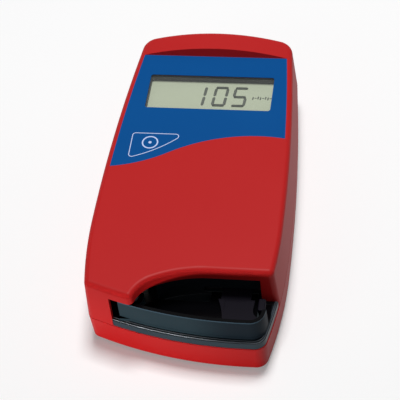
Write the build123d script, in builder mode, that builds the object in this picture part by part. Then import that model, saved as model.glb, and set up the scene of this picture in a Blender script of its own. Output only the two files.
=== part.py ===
"""Blood glucose meter with a swing-out cuvette arm.

Two moulded shells meet at a parting plane. The top shell has a flat deck with a film overlay,
a crowned ridge behind it, and a scoop at the front right that opens onto the cuvette arm.
The arm turns about a pin at the front left and carries the cuvette into the optics.
Millimetres, +Z up, -Y towards the user, origin under the middle of the meter.
"""
import os
from math import cos, radians, sin, tan

from build123d import *

os.makedirs("parts", exist_ok=True)

# --- Case: outline, heights and walls -------------------------------------------------
length = 160.0
width = 85.0
height = 43.0
foot_stand = 1.0          # the feet hold the case this far off the table
parting_z = 15.8          # where the two shells meet
crown_rise = 4.0          # the ridge stands this far above the flat deck
widest_from_front = 47.0  # the sides are furthest apart here
side_radius = 914.0       # long bow of each side, behind the widest line
side_front_radius = 202.0
front_radius = 188.0      # bow of the front, struck from behind the case
nose_from_side = 15.5     # where the front reaches furthest forward, from the right side
rear_radius = 300.0
rear_corner = 8.0
right_corner = 5.5
left_corner = 4.0
top_draft = 3.5
bottom_draft = 2.0
wall = 2.2
roof = 2.2
floor = 2.4
deck_edge = 2.4
bottom_edge = 1.6
seam = 0.3                # bevel of each shell along the parting line
lip_rise = 1.2            # lip of the bottom shell that locates the top one
lip_thick = 1.0
lip_root = 0.8            # how far the foot of the lip reaches into the wall
seat_gap = 0.1            # clearance between pieces that are assembled together
run_gap = 0.3             # clearance beside pieces that move

# --- Crowned ridge behind the display ---------------------------------------------------
crest_from_rear = 14.15
crest_lean = 17.0
crown_from_side = 8.9     # the crown runs out into the deck here

# --- Scoop and the window for the arm ---------------------------------------------------
scoop_depth = 22.6        # from the front of the case to the back of the scoop
scoop_back_width = 21.2   # straight back of the scoop, from the pillar to its bow
scoop_radius = 50.0
scoop_turn = 27.0
scoop_tip_radius = 14.0
scoop_edge = 2.2
skirt = 2.2               # thickness of the lip and of the pillar
lip_drop = 5.5            # underside of the lip round the scoop, below the deck
window_from_side = 14.5   # left end of the arm's window
pillar_from_side = 8.5

# --- Fasteners --------------------------------------------------------------------------
rear_screw_from_side = 7.9
front_screw_from_side = 7.2
front_screw_from_front = 50.0
screw_radius = 1.45
screw_length = 20.0
head_radius = 2.5
head_height = 1.8
head_sink = 1.2
screw_hole = 1.5
drive_size = (2.8, 0.7)   # cross recess in the heads
drive_depth = 0.9
lower_boss = 3.4
upper_boss = 3.0
board_screw_radius = 0.95
board_screw_length = 5.0
board_head_radius = 1.9
board_head_height = 1.2

# --- Electronics ------------------------------------------------------------------------
board_thick = 1.6
board_from_side = 12.5
board_from_rear = 10.0
board_from_front = 42.0
board_corner = 2.0
post_from_side = 3.6      # from the edges of the board to its posts
post_from_front = 3.0
post_radius = 2.4
post_hole = 1.0
post_depth = 6.0
post_gap = 1.0            # between the rear posts and the frame of the display
beeper_radius = 6.0
beeper_height = 4.5
beeper_from_front = 30.0
beeper_from_side = 15.0
beeper_hole = 1.0
chip_height = 1.4
processor_size = 12.0
processor_place = (8.0, 38.0)      # from the middle and the front edge of the board
amplifier_size = (8.0, 5.0)
amplifier_place = (-12.0, 20.0)
regulator_size = (3.0, 4.0)
regulator_pitch = (8.0, 6.0)
regulator_place = (12.0, 18.0)

# --- Display, overlay and key -------------------------------------------------------------
window_from_side_edge = 13.95
window_height = 20.6
window_shift = 0.34
window_from_crest = 22.75
window_corner = 1.2
overlay_film = 0.3
overlay_length = 48.3     # from the ridge to the top of the wave
wave_from_side = 16.5
wave_radius = 74.0
wave_turn = 32.3
wave_foot_radius = 63.6
lens_thick = 1.1
lens_margin = 2.2
frame_rim = 1.0           # lining of the window, from the frame up to the lens
display_depth = 4.2       # from the deck down to the face of the display
display_thick = 2.4
display_margin = 3.2      # glass beyond the window, above and below it
display_side_margin = 0.8
frame_wall = 1.6
strip_height = 5.5        # contact strips between the board and the display
strip_thick = 2.0
strip_from_end = 2.0
strip_from_edge = 0.2
key_from_side = 11.3
key_below_wave = 0.25     # top of the key, below the top of the wave
key_width = 23.8
key_height = 15.3
key_bow = 1.8
key_corner = 1.7
key_travel = 0.4
stem_radius = 2.0
stem_from_left = 8.6
stem_from_top = 5.43
switch_height = 3.2
switch_size = 6.0
switch_corner = 0.5
plunger_radius = 1.7
plunger_rise = 0.6

# --- Arm, its pin and the optics ----------------------------------------------------------
pivot_from_window = 7.5
pivot_from_front = 16.5
pin_radius = 2.0
pin_head = 1.6            # how far the pin's head reaches past its shank
pin_head_height = 1.2
pin_round = 0.5
pin_running = 0.05        # radial clearance of the arm on its pin
pin_seat = 5.0            # depth of the sleeve that holds the pin
hub_radius = 5.5
hub_height = 6.3
tray_rise = 3.6           # top of the tray above the parting plane
tray_floor = 1.8
tray_inset = 0.3
tray_skirt = 1.8          # wall under the edge of the tray's floor
groove_from_edge = 0.55
groove_width = 0.5
groove_depth = 0.5
arm_below_lip = 2.5
arm_inset = 2.3           # foot of the arm's wall, inside the line of the case's front
arm_side_reach = 1.4      # the arm's right side stands this much nearer the case's side
arm_draft = 2.0
arm_wall = 1.6
arm_plate = 1.6
arm_corner = 9.0
arm_from_window = 3.3
arm_strip = 10.0          # depth of the strip that carries the arm's wall
liner_wall = 1.5
optics_depth = 12.0
optics_width = 24.7
optics_drop = 6.0         # top of the optics below the deck
optics_board_thick = 1.2
optics_board_margin = (1.0, 0.5)
link_thick = 0.3
link_width = 10.35
link_overlap = 3.0        # how far the lead lies on each board
link_stand = 1.5          # from the optics to the upright run of the lead
link_bend = 0.9
light_from_pillar = 10.5
light_depth = 4.5
emitter_radius = 2.5
emitter_recess = 1.0      # the dome stays this far above the slot
emitter_dome = 2.0
detector_radius = 2.3
detector_height = 1.4
detector_window = 1.2
detector_recess = 0.3
tongue_rise = 0.4
tongue_thick = 1.9
tongue_width = 12.5
tongue_past_light = 3.4
tongue_corner = 1.5
eye_radius = 1.6          # opening in the tongue for the light
holder_height = 2.7
holder_width = 15.5
holder_setback = 3.3
holder_waist = 2.6
holder_shift = 0.4        # the holder stands this far to the right of the light's axis
cuvette_width = 9.0
cuvette_length = 14.3
cuvette_corner = 1.0
catch_size = (2.2, 5.4)
catch_past_pillar = 1.1
catch_setback = 7.6
catch_height = 7.8
catch_pad = 2.4
catch_pad_margin = 0.4
catch_round = 0.6
catch_travel = 1.2
catch_gap = 0.15
plate_margin = 2.4        # from the catch to the right end of the plate
arm_switch_size = (4.0, 9.0, 5.5)
arm_switch_from_hub = 6.0
arm_switch_past_pivot = 4.0
arm_switch_corner = 0.4
lever_size = (0.5, 7.0, 2.5)
lever_rise = 1.5
detent_length = 11.0
detent_thick = 1.4
detent_height = 5.0
detent_bow = 1.6
leaf_thick = 0.4

# --- Battery bay --------------------------------------------------------------------------
cell_radius = 7.15
cell_length = 50.5
cell_edge = 0.5
cell_tip = 1.3
cell_tip_radius = 2.75
cell_pitch = 14.9
bay_side_gap = 0.5
bay_from_rear = 8.0
contact_room = 2.5
contact_thick = 0.4
contact_plate = (9.6, 10.0)
contact_drop = 0.6
contact_corner = 1.0
contact_leaf = (5.0, 8.0)
bay_wall = 1.6
bay_roof = 1.2
bay_headroom = 0.4        # from the cells up to the roof
cover_thick = 2.2
cover_tongue = 1.1
cover_lap = 0.9           # how far the cover reaches past the bay's front edge
foot_size = (3.4, 16.0)
foot_recess = 0.8
foot_edge = 0.4
grip_size = (18.0, 1.1)   # finger grooves in the cover
grip_pitch = 2.4
grip_count = 5
grip_depth = 0.6
grip_from_front = 10.0
rear_foot_from_side = 9.5
rear_foot_from_rear = 22.5
front_foot_from_side = 7.5
front_foot_from_front = 32.0

# --- Inlet --------------------------------------------------------------------------------
inlet_from_side = 24.5
inlet_bore = 3.1
inlet_wall = 1.1
inlet_pin = 1.0
inlet_pin_recess = 1.0
inlet_pin_round = 0.4
inlet_depth = 11.0
inlet_collar = 2.2

# --- Heights and places that follow ---------------------------------------------------------
front_y = -length / 2
rear_y = length / 2
widest_y = front_y + widest_from_front
nose_x = width / 2 - nose_from_side
deck_z = height - crown_rise
lip_z = deck_z - lip_drop
crest_y = rear_y - crest_from_rear
crown_half_width = width / 2 - crown_from_side
crown_radius = (crown_half_width**2 + crown_rise**2) / (2 * crown_rise)
crest_dir = (0, -cos(radians(crest_lean)), sin(radians(crest_lean)))
crest_plane = Plane(origin=(0, crest_y, deck_z), x_dir=(1, 0, 0), z_dir=crest_dir)
top_lean = tan(radians(top_draft))
bottom_lean = tan(radians(bottom_draft))
deck_inset = (deck_z - parting_z) * top_lean + deck_edge

window_centre = (window_shift, crest_y - window_from_crest)
window_size = (width - 2 * window_from_side_edge, window_height)
display_size = (
    window_size[0] + 2 * display_side_margin,
    window_size[1] + 2 * display_margin,
)
frame_size = (display_size[0] + 2 * frame_wall, display_size[1] + 2 * frame_wall)
display_top_z = deck_z - display_depth
lens_bottom_z = deck_z - overlay_film - lens_thick
board_top_z = display_top_z - display_thick - strip_height
board_z = board_top_z - board_thick
board_half_width = width / 2 - board_from_side
board_rear_y = rear_y - board_from_rear
board_front_y = front_y + board_from_front
post_x = board_half_width - post_from_side
post_rear_y = window_centre[1] + frame_size[1] / 2 + post_gap + post_radius
post_front_y = board_front_y + post_from_front
post_points = [(side * post_x, y) for y in (post_rear_y, post_front_y) for side in (-1, 1)]
wave_crest = (width / 2 - wave_from_side, crest_y - overlay_length)
key_left_x = -width / 2 + key_from_side
key_top_y = wave_crest[1] - key_below_wave
key_centre = (key_left_x + stem_from_left, key_top_y - stem_from_top)

rear_screw_y = window_centre[1] - frame_size[1] / 2 - seat_gap - upper_boss
rear_screw = (width / 2 - rear_screw_from_side, rear_screw_y)
front_screw = (width / 2 - front_screw_from_side, front_y + front_screw_from_front)
screw_points = [(side * x, y) for x, y in (rear_screw, front_screw) for side in (-1, 1)]
screw_seat_z = foot_stand + head_sink + head_height

scoop_back_y = front_y + scoop_depth
pillar_x = width / 2 - pillar_from_side
scoop_arc_x = pillar_x - scoop_back_width
window_left_x = -width / 2 + window_from_side
pivot = (window_left_x + pivot_from_window, front_y + pivot_from_front)
liner_gap = skirt + seat_gap
liner_left_x = scoop_arc_x - scoop_radius * sin(radians(scoop_turn))
tray_top_z = parting_z + tray_rise
plate_z = tray_top_z + run_gap
plate_top_z = plate_z + arm_plate
hub_top_z = plate_z + hub_height
arm_top_z = lip_z - arm_below_lip
arm_left_x = window_left_x + arm_from_window
arm_back_y = front_y + arm_strip
optics_front_y = scoop_back_y + liner_gap + liner_wall + seat_gap
tray_back_y = optics_front_y + optics_depth
optics_right_x = pillar_x - run_gap
optics_left_x = optics_right_x - optics_width
optics_top_z = deck_z - optics_drop
light_axis = (pillar_x - light_from_pillar, optics_front_y + light_depth)
tongue_z = plate_top_z + tongue_rise
holder_z = plate_top_z + holder_height
holder_back_y = scoop_back_y - holder_setback
slot_low_z = tongue_z - 2 * run_gap
slot_high_z = tongue_z + tongue_thick + 2 * run_gap
catch_place = (pillar_x + catch_past_pillar, scoop_back_y - catch_setback)
catch_top_z = plate_z + catch_height

bay_half_width = 2 * cell_pitch + bay_side_gap
bay_rear_y = rear_y - bay_from_rear
bay_front_y = bay_rear_y - cell_length - 2 * contact_room
cell_places = [(i - 1.5) * cell_pitch for i in range(4)]
cell_y = (bay_front_y + bay_rear_y) / 2
cell_z = foot_stand + cover_thick + run_gap + cell_radius
bay_ceiling_z = cell_z + cell_radius + bay_headroom
bay_top_z = bay_ceiling_z + bay_roof
rear_foot = (width / 2 - rear_foot_from_side, rear_y - rear_foot_from_rear)
front_foot = (width / 2 - front_foot_from_side, front_y + front_foot_from_front)
foot_points = [(side * x, y) for x, y in (rear_foot, front_foot) for side in (-1, 1)]
inlet_x = -width / 2 + inlet_from_side
inlet_z = board_top_z + inlet_wall + inlet_bore


def case_plan(inset=0.0):
    """Outline of the case at the parting plane, drawn inset mm inside it."""
    side_x = width / 2 - side_radius
    front_x = width / 2 - side_front_radius
    with BuildSketch() as rear:
        with Locations((side_x, widest_y)):
            Circle(side_radius - inset)
        with Locations((-side_x, widest_y)):
            Circle(side_radius - inset, mode=Mode.INTERSECT)
        with Locations((0, length / 2 - rear_radius)):
            Circle(rear_radius - inset, mode=Mode.INTERSECT)
        with Locations((0, widest_y)):
            Rectangle(2 * width, length, align=(Align.CENTER, Align.MIN), mode=Mode.INTERSECT)
        fillet(rear.vertices().group_by(Axis.Y)[-1], max(rear_corner - inset, seam))
    with BuildSketch() as front:
        with Locations((front_x, widest_y)):
            Circle(side_front_radius - inset)
        with Locations((-front_x, widest_y)):
            Circle(side_front_radius - inset, mode=Mode.INTERSECT)
        with Locations((nose_x, front_radius - length / 2)):
            Circle(front_radius - inset, mode=Mode.INTERSECT)
        with Locations((0, widest_y)):
            Rectangle(2 * width, length, align=(Align.CENTER, Align.MAX), mode=Mode.INTERSECT)
        fillet(front.vertices().sort_by(Axis.Y)[0], max(right_corner - inset, seam))
        left = front.vertices().sort_by_distance((-width / 2, -length / 2))[0]
        fillet(left, max(left_corner - inset, seam))
    with BuildSketch() as plan:
        add(rear.sketch)
        add(front.sketch)
    return plan.sketch


def drafted_case(low_z, low_inset, high_z, high_inset):
    """Solid of the case's outline whose walls lean evenly between two heights."""
    with BuildPart() as form:
        with BuildSketch(Plane.XY.offset(low_z)):
            add(case_plan(low_inset))
        with BuildSketch(Plane.XY.offset(high_z)):
            add(case_plan(high_inset))
        loft(ruled=True)
    return form.part


def seam_ring(side):
    """Ring that bevels a shell along the parting line: side is 1 above it and -1 below it."""
    with BuildPart() as ring:
        with BuildSketch(Plane.XY.offset(parting_z)):
            add(case_plan(-wall))
        extrude(amount=side * seam)
        add(drafted_case(parting_z, seam, parting_z + side * seam, 0), mode=Mode.SUBTRACT)
    return ring.part


def scoop_plan(spread=0.0):
    """Plan of the scoop: a straight back, a long bow and a tight curve to its tip."""
    with BuildSketch() as plan:
        with BuildLine():
            back_y = scoop_back_y + spread
            back = Line((width, back_y), (scoop_arc_x, back_y))
            bow = JernArc(back @ 1, back % 1, scoop_radius + spread, scoop_turn)
            tip = JernArc(bow @ 1, bow % 1, scoop_tip_radius + spread, 90 - scoop_turn)
            Polyline(tip @ 1, ((tip @ 1).X, -length), (width, -length), back @ 0)
        make_face()
    return plan.sketch


def arm_plan(inset, left_x, back_y):
    """Front strip that follows the case's front, inset mm inside it, with the arm's corner."""
    with BuildSketch() as plan:
        with Locations((nose_x, front_radius - length / 2)):
            Circle(front_radius - inset)
        with Locations((width / 2 - side_front_radius, widest_y)):
            Circle(side_front_radius - inset + arm_side_reach, mode=Mode.INTERSECT)
        with Locations((left_x, back_y)):
            Rectangle(length, length, align=(Align.MIN, Align.MAX), mode=Mode.INTERSECT)
        corner = plan.vertices().sort_by_distance((width / 2, -length / 2))[0]
        fillet(corner, arm_corner - inset)
    return plan.sketch


def overlay_plan():
    """Film overlay: straight top, sides along the deck's edge and a wave across the bottom."""
    with BuildSketch() as plan:
        add(case_plan(deck_inset))
        with BuildSketch(mode=Mode.INTERSECT):
            with BuildLine():
                right = JernArc(wave_crest, (1, 0), wave_radius, -wave_turn / 2)
                crest = JernArc(wave_crest, (-1, 0), wave_radius, wave_turn)
                foot = JernArc(crest @ 1, crest % 1, wave_foot_radius, -wave_turn)
                Polyline(
                    foot @ 1, (-width, (foot @ 1).Y), (-width, crest_y),
                    (width, crest_y), (width, (right @ 1).Y), right @ 1,
                )
            make_face()
    return plan.sketch


def key_plan(inset=0.0):
    """Leaf-shaped key: straight top and left sides and a bowed lower side."""
    with BuildSketch() as plan:
        with BuildLine():
            top = Line((key_left_x + key_width, key_top_y), (key_left_x, key_top_y))
            left = Line(top @ 1, (key_left_x, key_top_y - key_height))
            SagittaArc(left @ 1, top @ 0, -key_bow)
        make_face()
        fillet(plan.vertices(), key_corner)
        if inset > 0:
            offset(amount=-inset)
    return plan.sketch


def rim_edges(faces, low_z):
    """Edges above low_z that only one of the faces owns: the outer rim of a cut."""
    edges = ShapeList([edge for face in faces for edge in face.edges() if edge.center().Z > low_z])
    return [e for e in edges if sum((e.center() - o.center()).length < 1e-4 for o in edges) == 1]


# ======================================================================================
# Top shell
# ======================================================================================
crown_blank = drafted_case(parting_z, 0, height + roof, (height + roof - parting_z) * top_lean)
deck_blank = drafted_case(parting_z, 0, deck_z, (deck_z - parting_z) * top_lean)
crown_core = drafted_case(parting_z, wall, height, wall + (height - parting_z) * top_lean)
ceiling_z = deck_z - roof
deck_core = drafted_case(parting_z, wall, ceiling_z, wall + (ceiling_z - parting_z) * top_lean)

with BuildPart() as crown:
    add(crown_blank)
    with BuildSketch(Plane.XZ.offset(-length)):
        with Locations((0, height - crown_radius)):
            Circle(crown_radius)
    extrude(amount=2 * length, mode=Mode.INTERSECT)
    fillet(crown.faces().sort_by(Axis.Z)[-1].edges(), deck_edge)
    split(bisect_by=crest_plane, keep=Keep.BOTTOM)

with BuildPart() as top_form:
    add(deck_blank)
    fillet(top_form.faces().sort_by(Axis.Z)[-1].edges(), deck_edge)
    split(bisect_by=crest_plane, keep=Keep.TOP)
    add(crown.part)
    with BuildSketch(Plane.XY.offset(parting_z)):
        add(scoop_plan())
    extrude(amount=height, mode=Mode.SUBTRACT)
    upright = top_form.faces().filter_by(lambda f: abs(f.normal_at(f.center()).Z) < 1e-6)
    fillet(rim_edges(upright, parting_z + seam), scoop_edge)
    add(seam_ring(1), mode=Mode.SUBTRACT)

with BuildPart() as crown_hollow:
    add(crown_core)
    with BuildSketch(Plane.XZ.offset(-length)):
        with Locations((0, height - crown_radius)):
            Circle(crown_radius - roof)
    extrude(amount=2 * length, mode=Mode.INTERSECT)
    split(bisect_by=crest_plane.offset(-wall), keep=Keep.BOTTOM)

with BuildPart() as top_hollow:
    add(deck_core)
    add(crown_hollow.part)
    with BuildSketch(Plane.XY.offset(parting_z)):
        add(scoop_plan(skirt))
    extrude(amount=height, mode=Mode.SUBTRACT)

with BuildPart() as top_shell:
    add(top_form.part)
    add(top_hollow.part, mode=Mode.SUBTRACT)
    # window under the lip, from the left end of the arm to the pillar
    with BuildSketch(Plane.XY.offset(parting_z)):
        with Locations((window_left_x, scoop_back_y + skirt + wall)):
            Rectangle(pillar_x - window_left_x, length, align=(Align.MIN, Align.MAX))
    extrude(amount=lip_z - parting_z, mode=Mode.SUBTRACT)
    # bosses for the case screws and posts for the main board
    with BuildSketch(Plane.XY.offset(parting_z + seat_gap)):
        with Locations(*screw_points):
            Circle(upper_boss)
    extrude(amount=deck_z - roof / 2 - parting_z)
    with BuildSketch(Plane.XY.offset(board_top_z)):
        with Locations(*post_points):
            Circle(post_radius)
    extrude(amount=deck_z - roof / 2 - board_top_z)
    with BuildSketch(Plane.XY.offset(parting_z)):
        with Locations(*screw_points):
            Circle(screw_hole)
    extrude(amount=screw_seat_z + screw_length + 1 - parting_z, mode=Mode.SUBTRACT)
    with BuildSketch(Plane.XY.offset(board_top_z)):
        with Locations(*post_points):
            Circle(post_hole)
    extrude(amount=post_depth, mode=Mode.SUBTRACT)
    # display window with its step for the lens, recess for the overlay, key pocket
    with BuildSketch(Plane.XY.offset(deck_z - 2 * roof)):
        with Locations(window_centre):
            rim = 2 * (frame_rim + seat_gap)
            RectangleRounded(window_size[0] + rim, window_size[1] + rim, window_corner + frame_rim)
    extrude(amount=3 * roof, mode=Mode.SUBTRACT)
    with BuildSketch(Plane.XY.offset(lens_bottom_z)):
        with Locations(window_centre):
            margin = 2 * lens_margin
            RectangleRounded(window_size[0] + margin, window_size[1] + margin, lens_margin)
    extrude(amount=roof, mode=Mode.SUBTRACT)
    with BuildSketch(Plane.XY.offset(deck_z - overlay_film)):
        add(overlay_plan())
    extrude(amount=roof, mode=Mode.SUBTRACT)
    with BuildSketch(Plane.XY.offset(deck_z - overlay_film - key_travel - seat_gap)):
        add(key_plan())
    extrude(amount=roof, mode=Mode.SUBTRACT)
    with BuildSketch(Plane.XY.offset(deck_z - 2 * roof)):
        with Locations(key_centre):
            Circle(stem_radius + run_gap)
    extrude(amount=2 * roof, mode=Mode.SUBTRACT)
    # hole for the inlet in the rear wall
    with BuildSketch(Plane.XZ.offset(-rear_y - wall)):
        with Locations((inlet_x, inlet_z)):
            Circle(inlet_bore + inlet_wall + seat_gap)
    extrude(amount=4 * wall, mode=Mode.SUBTRACT)
top_shell.part.label = "top_shell"
export_step(top_shell.part, "parts/top_shell.step")

# ======================================================================================
# Bottom shell
# ======================================================================================
cover_front_y = bay_front_y - cover_lap
cover_top_z = foot_stand + cover_thick
tongue_bottom_z = cover_top_z - cover_tongue

floor_z = foot_stand + floor
bottom_blank = drafted_case(foot_stand, (parting_z - foot_stand) * bottom_lean, parting_z, 0)
bottom_core = drafted_case(floor_z, wall + (parting_z - floor_z) * bottom_lean, parting_z, wall)
with BuildPart() as bottom_form:
    add(bottom_blank)
    fillet(bottom_form.faces().sort_by(Axis.Z)[0].edges(), bottom_edge)
    add(seam_ring(-1), mode=Mode.SUBTRACT)

with BuildPart() as bay_block:
    # walls round the cells and the thicker floor behind them, cut to the form of the shell
    add(bottom_form.part)
    with Locations((0, cell_y, 0)):
        Box(
            2 * (bay_half_width + bay_wall),
            bay_rear_y - bay_front_y + 2 * bay_wall + 2 * cover_lap,
            2 * parting_z,
            mode=Mode.INTERSECT,
        )

with BuildPart() as bay_cap:
    # roof of the bay, which stands clear inside the walls of the top shell
    cap_z = parting_z - bay_wall
    cap_inset = wall + seat_gap + (bay_top_z - parting_z) * top_lean
    add(drafted_case(cap_z, cap_inset, bay_top_z, cap_inset))
    with Locations((0, cell_y, 0)):
        Box(
            2 * (bay_half_width + bay_roof),
            bay_rear_y - bay_front_y + 2 * bay_wall,
            2 * bay_top_z,
            mode=Mode.INTERSECT,
        )

with BuildPart() as rear_bridge:
    add(bottom_form.part)
    with Locations((0, bay_rear_y, 0)):
        Box(
            2 * (bay_half_width + bay_wall),
            length,
            2 * (cover_top_z + bay_wall),
            align=(Align.CENTER, Align.MIN, Align.CENTER),
            mode=Mode.INTERSECT,
        )

with BuildPart() as bottom_shell:
    add(bottom_form.part)
    add(bottom_core, mode=Mode.SUBTRACT)
    # lip that locates the top shell, left out where the arm's tray sits
    with BuildSketch(Plane.XY.offset(parting_z - lip_rise)):
        add(case_plan(wall - lip_root))
        add(case_plan(wall + lip_thick), mode=Mode.SUBTRACT)
        with Locations((0, tray_back_y + seat_gap)):
            Rectangle(width, length, align=(Align.CENTER, Align.MAX), mode=Mode.SUBTRACT)
        with Locations(*screw_points):
            Circle(lower_boss, mode=Mode.SUBTRACT)
    extrude(amount=lip_rise)
    with BuildSketch(Plane.XY.offset(parting_z)):
        add(case_plan(wall + seat_gap))
        add(case_plan(wall + lip_thick), mode=Mode.SUBTRACT)
        with Locations((0, tray_back_y + seat_gap)):
            Rectangle(width, length, align=(Align.CENTER, Align.MAX), mode=Mode.SUBTRACT)
        with Locations(*screw_points):
            Circle(lower_boss, mode=Mode.SUBTRACT)
    extrude(amount=lip_rise)
    # screw bosses, counterbored from below
    with BuildSketch(Plane.XY.offset(foot_stand)):
        with Locations(*screw_points):
            Circle(lower_boss)
    extrude(amount=parting_z - foot_stand)
    add(bay_block.part)
    add(rear_bridge.part)
    add(bay_cap.part)
    # open the bay, and run the cover's recess and its two grooves out through the rear
    with Locations((0, cell_y, 0)):
        Box(2 * bay_half_width, bay_rear_y - bay_front_y, 2 * bay_ceiling_z, mode=Mode.SUBTRACT)
    with BuildSketch(Plane.XZ.offset(-cover_front_y)):
        with Locations((0, 0)):
            Rectangle(
                2 * bay_half_width, cover_top_z + seat_gap, align=(Align.CENTER, Align.MIN)
            )
        with Locations((0, tongue_bottom_z - seat_gap)):
            Rectangle(
                2 * bay_half_width + 2 * cover_tongue,
                cover_tongue + 2 * seat_gap,
                align=(Align.CENTER, Align.MIN),
            )
    extrude(amount=-length, mode=Mode.SUBTRACT)
    with Locations(*[(x, y, foot_stand) for x, y in screw_points]):
        Cylinder(screw_hole, 3 * parting_z, mode=Mode.SUBTRACT)
        Cylinder(head_radius + 2 * seat_gap, 2 * (head_height + head_sink), mode=Mode.SUBTRACT)
    with BuildSketch(Plane.XY):
        with Locations(*foot_points):
            SlotOverall(foot_size[1] + 2 * seat_gap, foot_size[0] + 2 * seat_gap, rotation=90)
    extrude(amount=foot_stand + foot_recess, mode=Mode.SUBTRACT)
bottom_shell.part.label = "bottom_shell"
export_step(bottom_shell.part, "parts/bottom_shell.step")

# ======================================================================================
# Battery cover, cells and contacts
# ======================================================================================
with BuildPart() as battery_cover:
    add(bottom_form.part)
    with BuildSketch(Plane.XZ.offset(-cover_front_y - seat_gap)):
        with Locations((0, foot_stand)):
            Rectangle(2 * (bay_half_width - seat_gap), cover_thick, align=(Align.CENTER, Align.MIN))
        with Locations((0, tongue_bottom_z)):
            Rectangle(
                2 * (bay_half_width + cover_tongue - seat_gap),
                cover_tongue,
                align=(Align.CENTER, Align.MIN),
            )
    extrude(amount=-length, mode=Mode.INTERSECT)
    # finger grooves
    with BuildSketch(Plane.XY.offset(foot_stand)):
        with Locations((0, bay_front_y + grip_from_front)):
            with GridLocations(0, grip_pitch, 1, grip_count):
                SlotOverall(*grip_size)
    extrude(amount=grip_depth, mode=Mode.SUBTRACT)
battery_cover.part.label = "battery_cover"
export_step(battery_cover.part, "parts/battery_cover.step")

for number, x in enumerate(cell_places, start=1):
    flip = 1 if number % 2 else -1
    with BuildPart() as cell:
        low_end = (x, cell_y - flip * cell_length / 2, cell_z)
        axis = Plane(origin=low_end, x_dir=(1, 0, 0), z_dir=(0, flip, 0))
        with BuildSketch(axis):
            Circle(cell_radius)
        extrude(amount=cell_length - cell_tip)
        chamfer(cell.edges().filter_by(GeomType.CIRCLE), cell_edge)
        with BuildSketch(axis.offset(cell_length - cell_tip)):
            Circle(cell_tip_radius)
        extrude(amount=cell_tip)
    cell.part.label = f"cell_{number}"
    export_step(cell.part, f"parts/cell_{number}.step")

for name, wall_y, side, pairs in (
    ("front_contacts", bay_front_y, 1, ((0, 1), (2, 3))),
    ("rear_contacts", bay_rear_y, -1, ((0,), (1, 2), (3,))),
):
    with BuildPart() as contacts:
        # plates against the bay wall, bridging neighbouring cells
        with BuildSketch(Plane.XZ.offset(-wall_y)):
            for pair in pairs:
                mid = sum(cell_places[i] for i in pair) / len(pair)
                wide = (len(pair) - 1) * cell_pitch + contact_plate[0]
                with Locations((mid, cell_z - contact_drop)):
                    RectangleRounded(wide, contact_plate[1], contact_corner)
        extrude(amount=-side * contact_thick)
        # bowed leaves that press on the ends of the cells
        for x in cell_places:
            with BuildSketch(Plane.YZ.offset(x - contact_leaf[0] / 2)):
                with BuildLine():
                    foot_y = wall_y + side * contact_thick
                    peak_y = wall_y + side * (contact_room - seat_gap)
                    reach = contact_leaf[1] / 2
                    inner_reach = reach - 1.5 * contact_thick
                    leaf = ThreePointArc(
                        (foot_y, cell_z - reach), (peak_y, cell_z), (foot_y, cell_z + reach)
                    )
                    inner = ThreePointArc(
                        (foot_y, cell_z + inner_reach),
                        (peak_y - side * contact_thick, cell_z),
                        (foot_y, cell_z - inner_reach),
                    )
                    Line(leaf @ 1, inner @ 0)
                    Line(inner @ 1, leaf @ 0)
                make_face()
            extrude(amount=contact_leaf[0])
    contacts.part.label = name
    export_step(contacts.part, f"parts/{name}.step")

# ======================================================================================
# Feet and screws
# ======================================================================================
for name, (x, y) in zip(("rear_left", "rear_right", "front_left", "front_right"), foot_points):
    with BuildPart() as foot:
        with BuildSketch():
            with Locations((x, y)):
                SlotOverall(foot_size[1], foot_size[0], rotation=90)
        extrude(amount=foot_stand + foot_recess)
        chamfer(foot.faces().sort_by(Axis.Z)[0].edges(), foot_edge)
    foot.part.label = f"{name}_foot"
    export_step(foot.part, f"parts/{name}_foot.step")

with BuildPart() as case_screws:
    with Locations(*[(x, y, screw_seat_z) for x, y in screw_points]):
        Cylinder(screw_radius, screw_length, align=(Align.CENTER, Align.CENTER, Align.MIN))
        Cylinder(head_radius, head_height, align=(Align.CENTER, Align.CENTER, Align.MAX))
    with BuildSketch(Plane.XY.offset(screw_seat_z - head_height)):
        with Locations(*screw_points):
            Rectangle(*drive_size)
            Rectangle(drive_size[1], drive_size[0])
    extrude(amount=drive_depth, mode=Mode.SUBTRACT)
case_screws.part.label = "case_screws"
export_step(case_screws.part, "parts/case_screws.step")

with BuildPart() as board_screws:
    with Locations(*[(x, y, board_z) for x, y in post_points]):
        Cylinder(
            board_screw_radius, board_thick + board_screw_length,
            align=(Align.CENTER, Align.CENTER, Align.MIN),
        )
        Cylinder(
            board_head_radius, board_head_height, align=(Align.CENTER, Align.CENTER, Align.MAX)
        )
board_screws.part.label = "board_screws"
export_step(board_screws.part, "parts/board_screws.step")

# ======================================================================================
# Main board and what stands on it
# ======================================================================================
with BuildPart() as main_board:
    with BuildSketch(Plane.XY.offset(board_z)):
        with Locations((0, (board_rear_y + board_front_y) / 2)):
            RectangleRounded(2 * board_half_width, board_rear_y - board_front_y, board_corner)
        with Locations(*post_points):
            Circle(post_hole + seat_gap, mode=Mode.SUBTRACT)
    extrude(amount=board_thick)
main_board.part.label = "main_board"
export_step(main_board.part, "parts/main_board.step")

with BuildPart() as board_chips:
    with BuildSketch(Plane.XY.offset(board_top_z)):
        with Locations((processor_place[0], board_front_y + processor_place[1])):
            Rectangle(processor_size, processor_size)
        with Locations((amplifier_place[0], board_front_y + amplifier_place[1])):
            Rectangle(*amplifier_size)
        with Locations((regulator_place[0], board_front_y + regulator_place[1])):
            with GridLocations(*regulator_pitch, 2, 2):
                Rectangle(*regulator_size)
    extrude(amount=chip_height)
board_chips.part.label = "board_chips"
export_step(board_chips.part, "parts/board_chips.step")

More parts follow.
